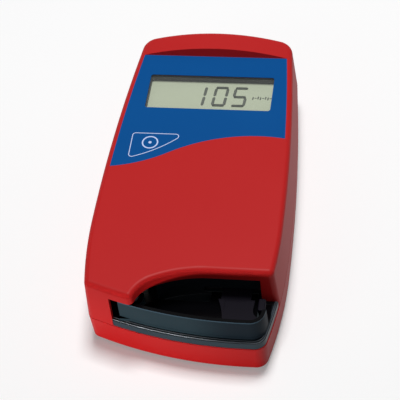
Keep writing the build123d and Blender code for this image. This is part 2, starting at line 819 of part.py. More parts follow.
beeper_place = (board_half_width - beeper_from_side, board_front_y + beeper_from_front)
with BuildPart() as beeper:
    with BuildSketch(Plane.XY.offset(board_z)):
        with Locations(beeper_place):
            Circle(beeper_radius)
    extrude(amount=-beeper_height)
    with BuildSketch(Plane.XY.offset(board_z - beeper_height)):
        with Locations(beeper_place):
            Circle(beeper_hole)
    extrude(amount=beeper_hole, mode=Mode.SUBTRACT)
beeper.part.label = "beeper"
export_step(beeper.part, "parts/beeper.step")

with BuildPart() as display_panel:
    with BuildSketch(Plane.XY.offset(display_top_z)):
        with Locations(window_centre):
            Rectangle(*display_size)
    extrude(amount=-display_thick)
display_panel.part.label = "display_panel"
export_step(display_panel.part, "parts/display_panel.step")

with BuildPart() as display_frame:
    with BuildSketch(Plane.XY.offset(board_top_z)):
        with Locations(window_centre):
            RectangleRounded(*frame_size, frame_wall)
    extrude(amount=deck_z - roof - board_top_z)
    # rim that lines the window up to the lens
    with BuildSketch(Plane.XY.offset(deck_z - roof)):
        with Locations(window_centre):
            rim = 2 * frame_rim
            RectangleRounded(window_size[0] + rim, window_size[1] + rim, window_corner + frame_rim)
    extrude(amount=lens_bottom_z - seat_gap - deck_z + roof)
    with BuildSketch(Plane.XY.offset(board_top_z)):
        with Locations(window_centre):
            Rectangle(display_size[0] + 2 * seat_gap, display_size[1] + 2 * seat_gap)
    extrude(amount=display_top_z - board_top_z, mode=Mode.SUBTRACT)
    with BuildSketch(Plane.XY.offset(board_top_z)):
        with Locations(window_centre):
            RectangleRounded(*window_size, window_corner)
    extrude(amount=deck_z, mode=Mode.SUBTRACT)
display_frame.part.label = "display_frame"
export_step(display_frame.part, "parts/display_frame.step")

with BuildPart() as contact_strips:
    with BuildSketch(Plane.XY.offset(board_top_z)):
        with Locations(window_centre):
            with GridLocations(0, display_size[1] - strip_thick - 2 * strip_from_edge, 1, 2):
                Rectangle(display_size[0] - 2 * strip_from_end, strip_thick)
    extrude(amount=strip_height)
contact_strips.part.label = "contact_strips"
export_step(contact_strips.part, "parts/contact_strips.step")

# ======================================================================================
# Overlay, lens and key
# ======================================================================================
with BuildPart() as display_lens:
    with BuildSketch(Plane.XY.offset(deck_z - overlay_film)):
        with Locations(window_centre):
            margin = 2 * lens_margin - 2 * seat_gap
            RectangleRounded(
                window_size[0] + margin, window_size[1] + margin, lens_margin - seat_gap
            )
    extrude(amount=-lens_thick)
display_lens.part.label = "display_lens"
export_step(display_lens.part, "parts/display_lens.step")

with BuildPart() as overlay:
    with BuildSketch(Plane.XY.offset(deck_z - overlay_film)):
        add(overlay_plan())
        with Locations(window_centre):
            RectangleRounded(*window_size, window_corner, mode=Mode.SUBTRACT)
        add(key_plan(), mode=Mode.SUBTRACT)
    extrude(amount=overlay_film)
overlay.part.label = "overlay"
export_step(overlay.part, "parts/overlay.step")

stem_foot_z = board_top_z + switch_height + key_travel + seat_gap
with BuildPart() as power_key:
    with BuildSketch(Plane.XY.offset(deck_z - overlay_film)):
        add(key_plan(seat_gap))
    extrude(amount=overlay_film)
    with BuildSketch(Plane.XY.offset(stem_foot_z)):
        with Locations(key_centre):
            Circle(stem_radius)
    extrude(amount=deck_z - overlay_film / 2 - stem_foot_z)
power_key.part.label = "power_key"
export_step(power_key.part, "parts/power_key.step")

with BuildPart() as key_switch:
    with BuildSketch(Plane.XY.offset(board_top_z)):
        with Locations(key_centre):
            RectangleRounded(switch_size, switch_size, switch_corner)
    extrude(amount=switch_height - plunger_rise)
    with BuildSketch(Plane.XY.offset(board_top_z + switch_height - plunger_rise)):
        with Locations(key_centre):
            Circle(plunger_radius)
    extrude(amount=plunger_rise)
key_switch.part.label = "key_switch"
export_step(key_switch.part, "parts/key_switch.step")

# ======================================================================================
# Inlet
# ======================================================================================
inlet_face_y = rear_y - 2 * wall - 2 * run_gap
inlet_half = inlet_bore + inlet_wall + run_gap
with BuildPart() as power_inlet:
    # moulded block on the board, with a round collar that reaches into the rear wall
    with Locations((inlet_x, inlet_face_y, board_top_z)):
        Box(
            2 * inlet_half,
            inlet_depth,
            2 * (inlet_bore + inlet_wall),
            align=(Align.CENTER, Align.MAX, Align.MIN),
        )
    with BuildSketch(Plane.XZ.offset(-inlet_face_y)):
        with Locations((inlet_x, inlet_z)):
            Circle(inlet_bore + inlet_wall)
    extrude(amount=-inlet_collar)
    with BuildSketch(Plane.XZ.offset(-inlet_face_y - inlet_collar)):
        with Locations((inlet_x, inlet_z)):
            Circle(inlet_bore)
    extrude(amount=inlet_depth, mode=Mode.SUBTRACT)
power_inlet.part.label = "power_inlet"
export_step(power_inlet.part, "parts/power_inlet.step")

with BuildPart() as inlet_contact:
    with BuildSketch(Plane.XZ.offset(-inlet_face_y - inlet_collar + inlet_depth)):
        with Locations((inlet_x, inlet_z)):
            Circle(inlet_pin)
    extrude(amount=-inlet_depth + inlet_pin_recess)
    fillet(inlet_contact.edges().sort_by(Axis.Y)[-1], inlet_pin_round)
inlet_contact.part.label = "inlet_contact"
export_step(inlet_contact.part, "parts/inlet_contact.step")

# ======================================================================================
# Tray that carries the arm, and the liner behind it
# ======================================================================================
boss_bottom_z = parting_z - pin_seat
edge_x = window_left_x + seat_gap
edge_y = scoop_back_y - seat_gap
with BuildPart() as arm_tray:
    # floor: out to the line of the case where the window is open, inside the walls elsewhere
    with BuildSketch(Plane.XY.offset(parting_z)):
        add(case_plan(tray_inset))
        with Locations((edge_x, edge_y)):
            Rectangle(2 * width, length, align=(Align.MIN, Align.MAX), mode=Mode.INTERSECT)
    extrude(amount=tray_rise)
    # hollow under the floor, inside a skirt that stands on the rim of the bottom shell
    with BuildSketch(Plane.XY.offset(parting_z)):
        add(case_plan(tray_inset + tray_skirt))
        with Locations((edge_x + tray_skirt, edge_y)):
            Rectangle(2 * width, length, align=(Align.MIN, Align.MAX), mode=Mode.INTERSECT)
    extrude(amount=tray_rise - tray_floor, mode=Mode.SUBTRACT)
    with BuildSketch(Plane.XY.offset(tray_top_z - tray_floor)):
        add(case_plan(wall + seat_gap + tray_rise * top_lean))
        with Locations((pillar_x - seat_gap, tray_back_y)):
            Rectangle(2 * width, length, align=(Align.MAX, Align.MAX), mode=Mode.INTERSECT)
    extrude(amount=tray_floor)
    # groove along the edge of the floor
    with BuildSketch(Plane.XY.offset(tray_top_z)):
        add(case_plan(tray_inset + groove_from_edge))
        add(case_plan(tray_inset + groove_from_edge + groove_width), mode=Mode.SUBTRACT)
        with Locations((edge_x, edge_y)):
            Rectangle(2 * width, length, align=(Align.MIN, Align.MAX), mode=Mode.INTERSECT)
    extrude(amount=-groove_depth, mode=Mode.SUBTRACT)
    # sleeve that the pin is pressed into
    with BuildSketch(Plane.XY.offset(tray_top_z)):
        with Locations(pivot):
            Circle(pin_radius + wall)
    extrude(amount=boss_bottom_z - tray_top_z)
    # liner that follows the scoop, with a slot for the tongue of the holder
    with BuildSketch(Plane.XY.offset(parting_z)):
        add(scoop_plan(liner_gap + liner_wall))
        add(scoop_plan(liner_gap), mode=Mode.SUBTRACT)
        with Locations((liner_left_x, tray_back_y)):
            Rectangle(
                pillar_x - liner_left_x - seat_gap, length, align=(Align.MIN, Align.MAX),
                mode=Mode.INTERSECT,
            )
    extrude(amount=deck_z - roof - seat_gap - parting_z)
    with Locations((optics_left_x, scoop_back_y, slot_low_z)):
        Box(
            width, 2 * scoop_depth, slot_high_z - slot_low_z,
            align=(Align.MIN, Align.CENTER, Align.MIN), mode=Mode.SUBTRACT,
        )
    with Locations((*pivot, parting_z)):
        Cylinder(pin_radius, 4 * pin_seat, mode=Mode.SUBTRACT)
arm_tray.part.label = "arm_tray"
export_step(arm_tray.part, "parts/arm_tray.step")

head_z = hub_top_z + run_gap
with BuildPart() as arm_pin:
    with Locations((*pivot, boss_bottom_z)):
        Cylinder(
            pin_radius, head_z - boss_bottom_z, align=(Align.CENTER, Align.CENTER, Align.MIN)
        )
    with Locations((*pivot, head_z)):
        Cylinder(
            pin_radius + pin_head, pin_head_height, align=(Align.CENTER, Align.CENTER, Align.MIN)
        )
    chamfer(arm_pin.edges().sort_by(Axis.Z)[-1], pin_round)
arm_pin.part.label = "arm_pin"
export_step(arm_pin.part, "parts/arm_pin.step")

# ======================================================================================
# Cuvette arm
# ======================================================================================
with BuildPart() as arm_core:
    # space behind the arm's curved wall
    with BuildSketch(Plane.XY.offset(plate_z)):
        add(arm_plan(arm_inset + arm_wall, -width, scoop_back_y + scoop_depth))
    extrude(amount=arm_top_z - plate_z, taper=arm_draft)

with BuildPart() as cuvette_arm:
    with BuildSketch(Plane.XY.offset(plate_z)):
        add(arm_plan(arm_inset, -width, scoop_back_y + scoop_depth))
    extrude(amount=arm_top_z - plate_z, taper=arm_draft)
    add(arm_core.part, mode=Mode.SUBTRACT)
    with Locations((arm_left_x, arm_back_y, 0)):
        Box(
            length, length, 4 * height, align=(Align.MIN, Align.MAX, Align.CENTER),
            mode=Mode.INTERSECT,
        )
    # sector plate from the hub to the right end, in front of the liner
    with BuildSketch(Plane.XY.offset(plate_z)):
        add(arm_plan(arm_inset, arm_left_x, scoop_back_y + liner_gap))
        add(scoop_plan(liner_gap - run_gap), mode=Mode.INTERSECT)
        with Locations((catch_place[0] + catch_size[0] / 2 + plate_margin, holder_back_y)):
            Rectangle(length, length, align=(Align.MAX, Align.MAX), mode=Mode.INTERSECT)
        with BuildSketch():
            add(scoop_plan(liner_gap - run_gap))
            with Locations((optics_right_x, holder_back_y)):
                Rectangle(
                    pillar_x - scoop_arc_x, scoop_depth, align=(Align.MAX, Align.MIN),
                    mode=Mode.INTERSECT,
                )
        with Locations(pivot):
            Circle(hub_radius)
        # web that joins the hub to the left end of the wall
        with Locations((arm_left_x, pivot[1])):
            Rectangle(
                2 * hub_radius, pivot[1] - arm_back_y + arm_wall, align=(Align.MIN, Align.MAX)
            )
    extrude(amount=arm_plate)
    with BuildSketch(Plane.XY.offset(plate_z)):
        with Locations(pivot):
            Circle(hub_radius)
    extrude(amount=hub_top_z - plate_z)
    with Locations((*pivot, 0)):
        Cylinder(pin_radius + pin_running, 4 * height, mode=Mode.SUBTRACT)
    # slot for the foot of the catch, longer than the foot by the catch's travel
    with BuildSketch(Plane.XY.offset(plate_z)):
        with Locations((catch_place[0] + catch_size[0] / 2 + catch_gap, catch_place[1])):
            Rectangle(
                catch_size[0] + catch_travel + 2 * catch_gap,
                catch_size[1] + 2 * catch_gap,
                align=(Align.MAX, Align.CENTER),
            )
    extrude(amount=arm_plate, mode=Mode.SUBTRACT)
cuvette_arm.part.label = "cuvette_arm"
export_step(cuvette_arm.part, "parts/cuvette_arm.step")

wall_lean = (holder_z - plate_z) * tan(radians(arm_draft))
holder_inset = arm_inset + arm_wall + wall_lean + seat_gap
with BuildPart() as cuvette_holder:
    # waisted plate on the arm, drawn in front of its back edge and cut to the arm's wall
    with BuildSketch(Plane.XY.offset(plate_top_z)):
        with BuildLine():
            left_x = light_axis[0] - holder_width / 2 + holder_shift
            right_x = left_x + holder_width
            back = Line((right_x, holder_back_y), (left_x, holder_back_y))
            waist = ThreePointArc(
                back @ 1,
                (left_x + holder_waist, (holder_back_y + front_y) / 2 + 2 * run_gap),
                (left_x + holder_waist, front_y),
            )
            front = Line(waist @ 1, (width / 2, front_y))
            side = Line(front @ 1, (width / 2, arm_back_y - 2 * run_gap))
            neck = Spline(
                side @ 1,
                (right_x + run_gap, (arm_back_y + holder_back_y) / 2 - holder_waist),
                back @ 0,
                tangents=((-1, 0.1), (0.1, 1)),
            )
        make_face()
        add(arm_plan(holder_inset, arm_left_x, scoop_back_y), mode=Mode.INTERSECT)
    extrude(amount=holder_z - plate_top_z)
    # tongue that carries the cuvette's eye into the optics
    with BuildSketch(Plane.XY.offset(tongue_z)):
        with Locations((light_axis[0], holder_back_y - tongue_past_light)):
            Rectangle(
                tongue_width,
                light_axis[1] - holder_back_y + 2 * tongue_past_light,
                align=(Align.CENTER, Align.MIN),
            )
        with Locations(light_axis):
            Circle(eye_radius, mode=Mode.SUBTRACT)
    extrude(amount=tongue_thick)
    fillet(cuvette_holder.edges().filter_by(Axis.Z).group_by(Axis.Y)[-1], tongue_corner)
    # shallow seat for the cuvette's body
    with BuildSketch(Plane.XY.offset(holder_z)):
        with Locations((light_axis[0], holder_back_y)):
            RectangleRounded(cuvette_width, cuvette_length, cuvette_corner)
    extrude(amount=-(holder_z - tongue_z - tongue_thick), mode=Mode.SUBTRACT)
cuvette_holder.part.label = "cuvette_holder"
export_step(cuvette_holder.part, "parts/cuvette_holder.step")

with BuildPart() as arm_catch:
    with BuildSketch(Plane.XY.offset(plate_z)):
        with Locations(catch_place):
            Rectangle(*catch_size)
    extrude(amount=catch_top_z - plate_z)
    # thumb pad that leans over the slot
    with BuildSketch(Plane.XY.offset(catch_top_z - catch_pad)):
        with Locations(catch_place):
            margin = 2 * catch_pad_margin
            RectangleRounded(catch_size[0] + margin, catch_size[1] + margin, margin)
    extrude(amount=catch_pad)
    fillet(arm_catch.faces().sort_by(Axis.Z)[-1].edges(), catch_round)
arm_catch.part.label = "arm_catch"
export_step(arm_catch.part, "parts/arm_catch.step")

# ======================================================================================
# Optics
# ======================================================================================
slot_depth = light_depth + tongue_past_light + run_gap
with BuildPart() as optics_housing:
    # block with a slot that is open to the front and to both sides
    with BuildSketch(Plane.YZ.offset(optics_left_x)):
        with Locations((optics_front_y, tray_top_z)):
            Rectangle(
                optics_depth, optics_top_z - tray_top_z, align=(Align.MIN, Align.MIN)
            )
        with Locations((optics_front_y, slot_low_z)):
            Rectangle(
                slot_depth, slot_high_z - slot_low_z, align=(Align.MIN, Align.MIN),
                mode=Mode.SUBTRACT,
            )
    extrude(amount=optics_right_x - optics_left_x)
    with BuildSketch(Plane.XY.offset(tray_top_z)):
        with Locations(light_axis):
            Circle(detector_radius + seat_gap)
    extrude(amount=slot_low_z - tray_top_z, mode=Mode.SUBTRACT)
    with BuildSketch(Plane.XY.offset(slot_high_z)):
        with Locations(light_axis):
            Circle(emitter_radius + seat_gap)
    extrude(amount=optics_top_z - slot_high_z, mode=Mode.SUBTRACT)
optics_housing.part.label = "optics_housing"
export_step(optics_housing.part, "parts/optics_housing.step")

with BuildPart() as emitter:
    with BuildSketch(Plane.XY.offset(optics_top_z)):
        with Locations(light_axis):
            Circle(emitter_radius)
    extrude(amount=slot_high_z + emitter_recess - optics_top_z)
    fillet(emitter.edges().sort_by(Axis.Z)[0], emitter_dome)
emitter.part.label = "emitter"
export_step(emitter.part, "parts/emitter.step")

with BuildPart() as detector:
    with BuildSketch(Plane.XY.offset(tray_top_z)):
        with Locations(light_axis):
            Circle(detector_radius)
    extrude(amount=detector_height)
    with BuildSketch(Plane.XY.offset(tray_top_z + detector_height)):
        with Locations(light_axis):
            Circle(detector_window)
    extrude(amount=-detector_recess, mode=Mode.SUBTRACT)
detector.part.label = "detector"
export_step(detector.part, "parts/detector.step")

optics_board_top_z = optics_top_z + optics_board_thick
with BuildPart() as optics_board:
    with BuildSketch(Plane.XY.offset(optics_top_z)):
        with Locations(((optics_left_x + optics_right_x) / 2, (optics_front_y + tray_back_y) / 2)):
            Rectangle(
                optics_width - 2 * optics_board_margin[0],
                optics_depth - 2 * optics_board_margin[1],
            )
    extrude(amount=optics_board_thick)
optics_board.part.label = "optics_board"
export_step(optics_board.part, "parts/optics_board.step")

with BuildPart() as board_link:
    # flat flexible lead from the optics board down to the main board
    with BuildSketch(Plane.YZ.offset(optics_left_x + link_thick)):
        with BuildLine() as run:
            FilletPolyline(
                (tray_back_y - link_overlap, optics_board_top_z + link_thick / 2),
                (tray_back_y + link_stand, optics_board_top_z + link_thick / 2),
                (tray_back_y + link_stand, board_top_z + link_thick / 2),
                (board_front_y + link_overlap, board_top_z + link_thick / 2),
                radius=link_bend,
            )
        trace(run.line, link_thick)
    extrude(amount=link_width)
board_link.part.label = "board_link"
export_step(board_link.part, "parts/board_link.step")

# ======================================================================================
# Arm sensing and detent
# ======================================================================================
arm_switch_right_x = pivot[0] - hub_radius - arm_switch_from_hub
arm_switch_front_y = pivot[1] + arm_switch_past_pivot
with BuildPart() as arm_switch:
    with BuildSketch(Plane.XY.offset(tray_top_z)):
        with Locations((arm_switch_right_x, arm_switch_front_y)):
            RectangleRounded(
                *arm_switch_size[:2], arm_switch_corner, align=(Align.MAX, Align.MIN)
            )
    extrude(amount=arm_switch_size[2])
    # lever along the right side of the switch
    with BuildSketch(Plane.XY.offset(tray_top_z + lever_rise)):
        with Locations((arm_switch_right_x, arm_switch_front_y + arm_switch_corner)):
            Rectangle(*lever_size[:2], align=(Align.MIN, Align.MIN))
    extrude(amount=lever_size[2])
arm_switch.part.label = "arm_switch"
export_step(arm_switch.part, "parts/arm_switch.step")

with BuildPart() as arm_detent:
    # clip on the tray whose bowed leaf bears on the hub
    leaf_y = pivot[1] + hub_radius + run_gap
    with BuildSketch(Plane.XY.offset(tray_top_z)):
        with Locations((pivot[0], leaf_y + detent_bow)):
            Rectangle(detent_length, detent_thick, align=(Align.CENTER, Align.MIN))
        with BuildLine():
            reach = detent_length / 2
            inner_reach = reach - 2.5 * leaf_thick
            outer = ThreePointArc(
                (pivot[0] - reach, leaf_y + detent_bow),
                (pivot[0], leaf_y),
                (pivot[0] + reach, leaf_y + detent_bow),
            )
            inner = ThreePointArc(
                (pivot[0] + inner_reach, leaf_y + detent_bow),
                (pivot[0], leaf_y + leaf_thick),
                (pivot[0] - inner_reach, leaf_y + detent_bow),
            )
            Line(outer @ 1, inner @ 0)
            Line(inner @ 1, outer @ 0)
        make_face()
    extrude(amount=detent_height)
arm_detent.part.label = "arm_detent"
export_step(arm_detent.part, "parts/arm_detent.step")
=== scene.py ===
from math import radians, tan

import bpy
from mathutils import Matrix, Vector


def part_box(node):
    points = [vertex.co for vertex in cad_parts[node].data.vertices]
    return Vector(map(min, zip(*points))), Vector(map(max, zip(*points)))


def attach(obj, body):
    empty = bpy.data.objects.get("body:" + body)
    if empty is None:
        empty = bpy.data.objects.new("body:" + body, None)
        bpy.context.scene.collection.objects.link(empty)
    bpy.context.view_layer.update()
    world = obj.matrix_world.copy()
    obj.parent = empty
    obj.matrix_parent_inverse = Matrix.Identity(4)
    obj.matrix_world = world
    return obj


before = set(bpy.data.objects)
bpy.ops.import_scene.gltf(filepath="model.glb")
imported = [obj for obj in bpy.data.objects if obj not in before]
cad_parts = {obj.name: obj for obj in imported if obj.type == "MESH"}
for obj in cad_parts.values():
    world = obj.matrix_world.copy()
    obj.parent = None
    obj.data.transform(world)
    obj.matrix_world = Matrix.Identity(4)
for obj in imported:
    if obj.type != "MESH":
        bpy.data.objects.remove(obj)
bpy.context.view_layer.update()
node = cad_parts

# ======================================================================================
# Bench, lamps and camera
# A white bench top that runs out of sight, one soft lamp overhead, a weaker one at the
# front left, and a low card of light before the case that leaves the recess dark.
# ======================================================================================


class Wire:
    """A shader socket that can be added, multiplied and compared as a number is."""

    def __init__(self, finish, socket):
        self.finish = finish
        self.socket = socket

    def sums(self, operation, first, second=0.0):
        settings = {"operation": operation}
        return self.finish.node("ShaderNodeMath", settings, {0: first, 1: second})

    def __add__(self, other):
        return self.sums("ADD", self, other)

    def __sub__(self, other):
        return self.sums("SUBTRACT", self, other)

    def __rsub__(self, other):
        return self.sums("SUBTRACT", other, self)

    def __mul__(self, other):
        return self.sums("MULTIPLY", self, other)

    def __truediv__(self, other):
        return self.sums("DIVIDE", self, other)

    def __mod__(self, other):
        return self.sums("FLOORED_MODULO", self, other)

    def __abs__(self):
        return self.sums("ABSOLUTE", self)

    def __gt__(self, other):
        return self.sums("GREATER_THAN", self, other)

    def __lt__(self, other):
        return self.sums("LESS_THAN", self, other)

    __radd__ = __add__
    __rmul__ = __mul__


class Finish:
    """The material of one of the meter's finishes, and the maker of its nodes."""

    def __init__(self, name):
        self.material = bpy.data.materials.new(name)
        self.material.use_nodes = True
        self.tree = self.material.node_tree
        self.shader = self.tree.nodes["Principled BSDF"]

    def node(self, kind, settings=(), values=(), output=0):
        made = self.tree.nodes.new(kind)
        for name, value in dict(settings).items():
            if name == "stops":
                for place, colour in value[2:]:
                    made.color_ramp.elements.new(place).color = colour
                for element, (place, colour) in zip(made.color_ramp.elements, value[:2]):
                    element.position, element.color = place, colour
            else:
                setattr(made, name, value)
        for name, value in dict(values).items():
            self.join(made.inputs[name], value)
        return Wire(self, made.outputs[output])

    def join(self, socket, value):
        if isinstance(value, Wire):
            self.tree.links.new(value.socket, socket)
        else:
            socket.default_value = value

    def place(self):
        return self.node("ShaderNodeTexCoord", output="Object")

    def axes(self, vector=None):
        """The three parts of a vector, or else the point of the piece in metres."""
        split = self.node("ShaderNodeSeparateXYZ", {}, {0: vector or self.place()})
        outputs = split.socket.node.outputs
        return [Wire(self, outputs[axis]) for axis in range(3)]

    def speckle(self, per_metre, detail=2.0):
        """Noise with per_metre spots to the metre, from 0 to 1."""
        values = {"Vector": self.place(), "Scale": per_metre, "Detail": detail}
        return self.node("ShaderNodeTexNoise", {}, values)

    def fade(self, value, start, end):
        """0 at the start of a stretch and 1 at its end, with soft ends."""
        settings = {"interpolation_type": "SMOOTHSTEP"}
        return self.node("ShaderNodeMapRange", settings, {0: value, 1: start, 2: end})

    def blend(self, mask, first, second):
        """First colour where the mask is 0, second where it is 1."""
        return self.node(
            "ShaderNodeMix", {"data_type": "RGBA"}, {0: mask, 6: first, 7: second}, output=2
        )

    def relief(self, height, depth, strength=1.0, edge=0.0):
        """Bump whose height of 1 stands depth metres proud, on edges rounded by edge metres."""
        values = {"Strength": strength, "Distance": depth, "Height": height}
        if edge:
            values["Normal"] = self.node("ShaderNodeBevel", {"samples": 8}, {"Radius": edge})
        return self.node("ShaderNodeBump", {}, values)

    def surface(self, **values):
        for name, value in values.items():
            self.join(self.shader.inputs[name.replace("_", " ")], value)

    def dress(self, *names):
        for name in names:
            for slot in node[name].material_slots:
                slot.material = self.material


bench = Finish("bench_paper")
seen_paths = bench.node("ShaderNodeLightPath", output="Is Camera Ray")
gloss_paths = bench.node("ShaderNodeLightPath", output="Is Glossy Ray")
bench_white = bench.blend(seen_paths, (0.0, 0.0, 0.0, 1), (1.0, 1.0, 1.0, 1))
# the bench throws back less light on the case's sides than it shows
bench_thrown = (0.35, 0.35, 0.35, 1)
bench_shown = (0.78, 0.78, 0.78, 1)
bench.surface(
    Base_Color=bench.blend(seen_paths + gloss_paths, bench_thrown, bench_shown),
    Roughness=0.9, Specular_IOR_Level=0.0,
    Emission_Color=bench_white, Emission_Strength=0.24,
)
bench_width = 8.0
bench_drop = 0.0001

bpy.ops.object.select_all(action="DESELECT")
bpy.ops.mesh.primitive_plane_add(size=bench_width, location=(0, 0, -bench_drop))
floor = bpy.context.object
floor.name = "bench"
bpy.ops.object.transform_apply(location=True)
floor.data.materials.append(bench.material)

world = bpy.data.worlds.new("studio")
bpy.context.scene.world = world
world.use_nodes = True
sky = world.node_tree
sky_rays = sky.nodes.new("ShaderNodeLightPath")
plain_white = sky.nodes.new("ShaderNodeBackground")
plain_white.inputs["Color"].default_value = (1, 1, 1, 1)
room_light = sky.nodes["Background"]
room_light.inputs["Color"].default_value = (0.96, 0.98, 1.0, 1)
room_light.inputs["Strength"].default_value = 0.09
choice = sky.nodes.new("ShaderNodeMixShader")
any_seen = sky_rays.outputs["Is Camera Ray"]
for ray in ("Is Glossy Ray", "Is Transmission Ray"):
    either = sky.nodes.new("ShaderNodeMath")
    either.operation = "MAXIMUM"
    sky.links.new(any_seen, either.inputs[0])
    sky.links.new(sky_rays.outputs[ray], either.inputs[1])
    any_seen = either.outputs[0]
sky.links.new(any_seen, choice.inputs[0])
sky.links.new(room_light.outputs[0], choice.inputs[1])
sky.links.new(plain_white.outputs[0], choice.inputs[2])
sky.links.new(choice.outputs[0], sky.nodes["World Output"].inputs["Surface"])

# each lamp's name, place, the point that it faces, width and height, and power in watts
for name, place, target, size, power in (
    ("top_lamp", (0.04, 0.18, 1.20), (0, 0, 0), (0.3, 0.3), 12.3),
    ("front_lamp", (-0.70, -1.00, 0.60), (0, 0, 0), (0.7, 0.7), 0.8),
    ("front_card", (-0.075, -0.145, 0.006), (-0.035, -0.01, 0.006), (0.22, 0.006), 0.127),
):
    bpy.ops.object.light_add(type="AREA", location=place)
    lamp = bpy.context.object
    lamp.name = name
    lamp.data.shape = "RECTANGLE"
    lamp.data.size, lamp.data.size_y = size
    lamp.data.energy = power
    lamp.rotation_euler = (Vector(target) - Vector(place)).to_track_quat("-Z", "Y").to_euler()
    if name == "front_card":
        # the card lights the case alone, so that the bench keeps its shadow
        lamp.visible_camera = lamp.visible_glossy = False
        lit_by_card = bpy.data.collections.new("lit_by_card")
        lit_by_card.objects.link(floor)
        lit_by_card.collection_objects[0].light_linking.link_state = "EXCLUDE"
        lamp.light_linking.receiver_collection = lit_by_card

bpy.ops.object.camera_add(location=(0.1095, -0.4349, 0.5466))
camera = bpy.context.object
camera.name = "camera"
camera.rotation_euler = (radians(39.812), radians(5.489), radians(7.680))
camera.data.sensor_width = 36
camera.data.lens = 139.5
camera.data.clip_start = 0.01
camera.data.clip_end = 20
bpy.context.scene.camera = camera
bpy.context.scene.view_settings.view_transform = "Standard"

# ======================================================================================
# Case shells and battery cover
# Injection-moulded ABS, coloured red right through. The mould is spark-eroded to a fine,
# even grain that the light catches only at a low angle.
# ======================================================================================
case_red = Finish("case_red")
flow = case_red.speckle(22.0, 3.0)
grain = case_red.speckle(2600.0)
case_red.surface(
    Base_Color=case_red.blend(flow, (0.455, 0.0095, 0.0100, 1), (0.478, 0.0130, 0.0130, 1)),
    Roughness=0.38 + flow * 0.05 + grain * 0.06,
    Specular_IOR_Level=0.13,
    Normal=case_red.relief(grain, 0.00005, 0.15),
)
case_red.dress("top_shell", "bottom_shell", "battery_cover")

# ======================================================================================
# Rubber feet
# Four round-ended strips of soft black rubber, pressed into recesses in the bottom shell.
# Their faces are dull and a little dusty where they meet the table.
# ======================================================================================
foot_rubber = Finish("foot_rubber")
dust = foot_rubber.speckle(900.0, 4.0)
worn_height = 0.0003
worn = (foot_rubber.axes()[2] < worn_height) * dust
foot_rubber.surface(
    Base_Color=foot_rubber.blend(worn, (0.018, 0.018, 0.020, 1), (0.075, 0.073, 0.070, 1)),
    Roughness=0.75 + dust * 0.15, Specular_IOR_Level=0.3,
    Normal=foot_rubber.relief(dust, 0.00003, 0.5),
)
foot_rubber.dress("rear_left_foot", "rear_right_foot", "front_left_foot", "front_right_foot")

# ======================================================================================
# Screws and the arm's pin
# The screws are zinc-plated steel, rolled and turned: bright, with a fine grain round each
# one and a duller film of passivation. The pin that the arm turns on is oxide-blacked.
# ======================================================================================
screw_steel = Finish("screw_steel")
film = screw_steel.speckle(500.0, 4.0)
turning_pitch = 0.00012


def off_stripe(along, pitch):
    """How far a point lies from the middle of the nearest of even stripes, in pitches."""
    return abs((along / pitch) % 1.0 - 0.5)


turned = off_stripe(screw_steel.axes()[2], turning_pitch)
screw_steel.surface(
    Base_Color=screw_steel.blend(film, (0.50, 0.50, 0.52, 1), (0.66, 0.65, 0.62, 1)),
    Metallic=1.0, Roughness=0.24 + film * 0.16,
    Normal=screw_steel.relief(turned, 0.000008, 0.6),
)
screw_steel.dress("case_screws", "board_screws")

pin_black = Finish("pin_black")
oxide = pin_black.speckle(700.0, 4.0)
pin_black.surface(
    Base_Color=pin_black.blend(oxide, (0.012, 0.012, 0.014, 1), (0.030, 0.029, 0.031, 1)),
    Metallic=0.7, Roughness=0.42 + oxide * 0.18, Normal=pin_black.relief(oxide, 0.00001, 0.5),
)
pin_black.dress("arm_pin")

# ======================================================================================
# Cells and their contacts
# Four AA cells: a printed film jacket shrunk round a plated steel can, with a coloured band
# at the positive end. They lie in turn head to tail between nickel-plated leaf contacts.
# ======================================================================================
bare_head = 0.0021       # the cell's tip and the rim that the film leaves bare
bare_base = 0.0006
band_length = 0.0155
ring_place = 0.0163
ring_half_width = 0.0003
for number in range(1, 5):
    low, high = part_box(f"cell_{number}")
    jacket = Finish(f"cell_jacket_{number}")
    along = jacket.axes()[1]
    if number % 2:
        from_head = high.y - along
    else:
        from_head = along - low.y
    can_length = high.y - low.y
    banded = (from_head < band_length) * (from_head > 0.0)
    ringed = abs(from_head - ring_place) < ring_half_width
    steel = 1 - (from_head > bare_head) * (from_head < can_length - bare_base)
    scuff = jacket.speckle(700.0, 4.0)
    dark = jacket.blend(scuff, (0.020, 0.021, 0.024, 1), (0.032, 0.033, 0.037, 1))
    printed = jacket.blend(banded, dark, (0.60, 0.29, 0.075, 1))
    printed = jacket.blend(ringed, printed, (0.75, 0.75, 0.73, 1))
    jacket.surface(
        Base_Color=jacket.blend(steel, printed, (0.62, 0.61, 0.58, 1)),
        Metallic=steel, Roughness=0.22 + scuff * 0.12,
        Normal=jacket.relief(scuff, 0.00001, 0.4),
    )
    jacket.dress(f"cell_{number}")

contact_nickel = Finish("contact_nickel")
tarnish = contact_nickel.speckle(400.0, 5.0)
contact_nickel.surface(
    Base_Color=contact_nickel.blend(tarnish, (0.56, 0.54, 0.49, 1), (0.70, 0.68, 0.63, 1)),
    Metallic=1.0, Roughness=0.20 + tarnish * 0.18,
    Normal=contact_nickel.relief(tarnish, 0.00001, 0.3),
)
contact_nickel.dress("front_contacts", "rear_contacts", "arm_detent", "inlet_contact")

